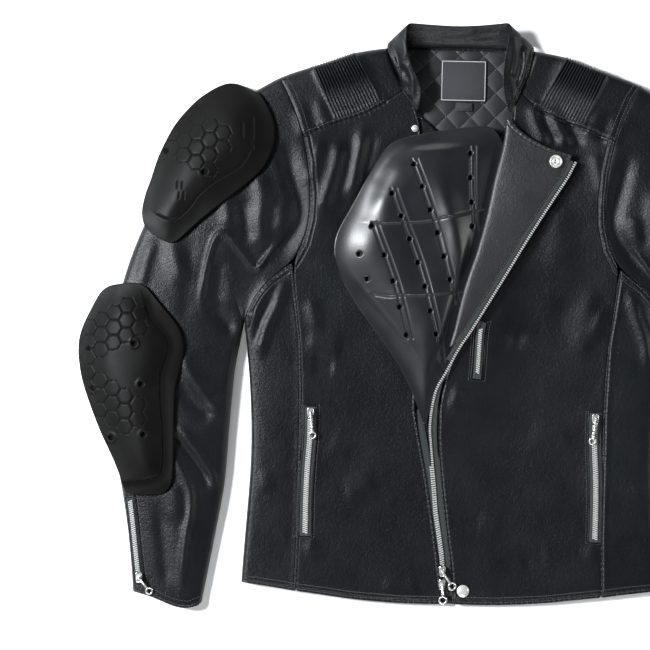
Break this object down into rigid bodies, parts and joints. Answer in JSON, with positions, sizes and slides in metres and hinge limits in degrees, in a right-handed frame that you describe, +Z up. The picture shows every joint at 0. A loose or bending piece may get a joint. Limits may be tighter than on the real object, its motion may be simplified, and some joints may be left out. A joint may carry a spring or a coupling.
{
  "type": "leather motorcycle jacket",
  "caption": "Black leather motorcycle jacket laid flat, its left front rolled back, with a stand collar, an open two-way zip and armour pads on the shoulder, elbow and chest.",
  "frame": {"origin": "under the middle of the back panel, on the surface the jacket lies on, at chest height", "axes": "+X towards the wearer's left, +Y towards the collar, +Z up out of the surface"},
  "size_m": [0.8498, 0.6946, 0.0422],
  "materials": {
    "black_leather": "satin",
    "black_satin": "satin",
    "label_cloth": "matt",
    "zip_tape": "matt",
    "nickel": "polished",
    "matte_pad": "matt",
    "gloss_pad": "gloss"
  },
  "bodies": {
    "jacket": {"back": "black_leather", "chest_pad": "gloss_pad", "chest_zip_chain": "nickel", "chest_zip_tape": "zip_tape", "collar": "black_leather", "cuff_zip_left_chain": "nickel", "cuff_zip_left_slider": "nickel", "cuff_zip_left_tape": "zip_tape", "cuff_zip_right_chain": "nickel", "cuff_zip_right_slider": "nickel", "cuff_zip_right_tape": "zip_tape", "elbow_pad": "matte_pad", "front_left": "black_leather", "front_right": "black_leather", "lapel": "black_leather", "lining_back": "black_satin", "neck_label": "label_cloth", "pocket_zip_left_chain": "nickel", "pocket_zip_left_slider": "nickel", "pocket_zip_left_tape": "zip_tape", "pocket_zip_right_chain": "nickel", "pocket_zip_right_slider": "nickel", "pocket_zip_right_tape": "zip_tape", "shoulder_pad": "matte_pad", "side_front_left": "black_leather", "side_front_right": "black_leather", "size_tab": "label_cloth", "sleeve_under_left": "black_leather", "sleeve_under_right": "black_leather", "sleeve_upper_left": "black_leather", "sleeve_upper_right": "black_leather", "snap_cap": "nickel", "snap_socket": "nickel", "snap_stud": "nickel", "wind_flap": "black_leather", "yoke_left": "black_leather", "yoke_right": "black_leather", "zip_chain_left": "nickel", "zip_chain_right": "nickel", "zip_lower_slider": "nickel", "zip_tape_lapel": "zip_tape", "zip_tape_left": "zip_tape", "zip_tape_right": "zip_tape", "zip_upper_slider": "nickel"},
    "cuff_zip_left_pull": {"cuff_zip_left_pull": "nickel"},
    "cuff_zip_right_pull": {"cuff_zip_right_pull": "nickel"},
    "pocket_zip_left_pull": {"pocket_zip_left_pull": "nickel"},
    "pocket_zip_right_pull": {"pocket_zip_right_pull": "nickel"},
    "zip_lower_pull": {"zip_lower_pull": "nickel"},
    "zip_upper_pull": {"zip_upper_pull": "nickel"}
  },
  "joints": [
    {"name": "cuff_zip_left_pull_hinge", "type": "hinge", "parent": "jacket", "child": "cuff_zip_left_pull", "pos_m": [0.3635, -0.274, 0.02429], "axis": [-0.788, 0.6156, 0], "range_deg": [0, 120]},
    {"name": "cuff_zip_right_pull_hinge", "type": "hinge", "parent": "jacket", "child": "cuff_zip_right_pull", "pos_m": [-0.3635, -0.274, 0.02429], "axis": [-0.788, -0.6156, 0], "range_deg": [0, 120]},
    {"name": "pocket_zip_left_pull_hinge", "type": "hinge", "parent": "jacket", "child": "pocket_zip_left_pull", "pos_m": [0.167, -0.077, 0.02331], "axis": [-0.9934, 0.1146, 0], "range_deg": [0, 120]},
    {"name": "pocket_zip_right_pull_hinge", "type": "hinge", "parent": "jacket", "child": "pocket_zip_right_pull", "pos_m": [-0.167, -0.077, 0.02331], "axis": [-0.9934, -0.1146, 0], "range_deg": [0, 120]},
    {"name": "zip_lower_pull_hinge", "type": "hinge", "parent": "jacket", "child": "zip_lower_pull", "pos_m": [-0.008, -0.2755, 0.01674], "axis": [-0.9967, -0.0808, 0], "range_deg": [0, 120]},
    {"name": "zip_upper_pull_hinge", "type": "hinge", "parent": "jacket", "child": "zip_upper_pull", "pos_m": [-0.008, -0.26, 0.01679], "axis": [-0.8247, -0.5655, 0], "range_deg": [0, 120]}
  ]
}
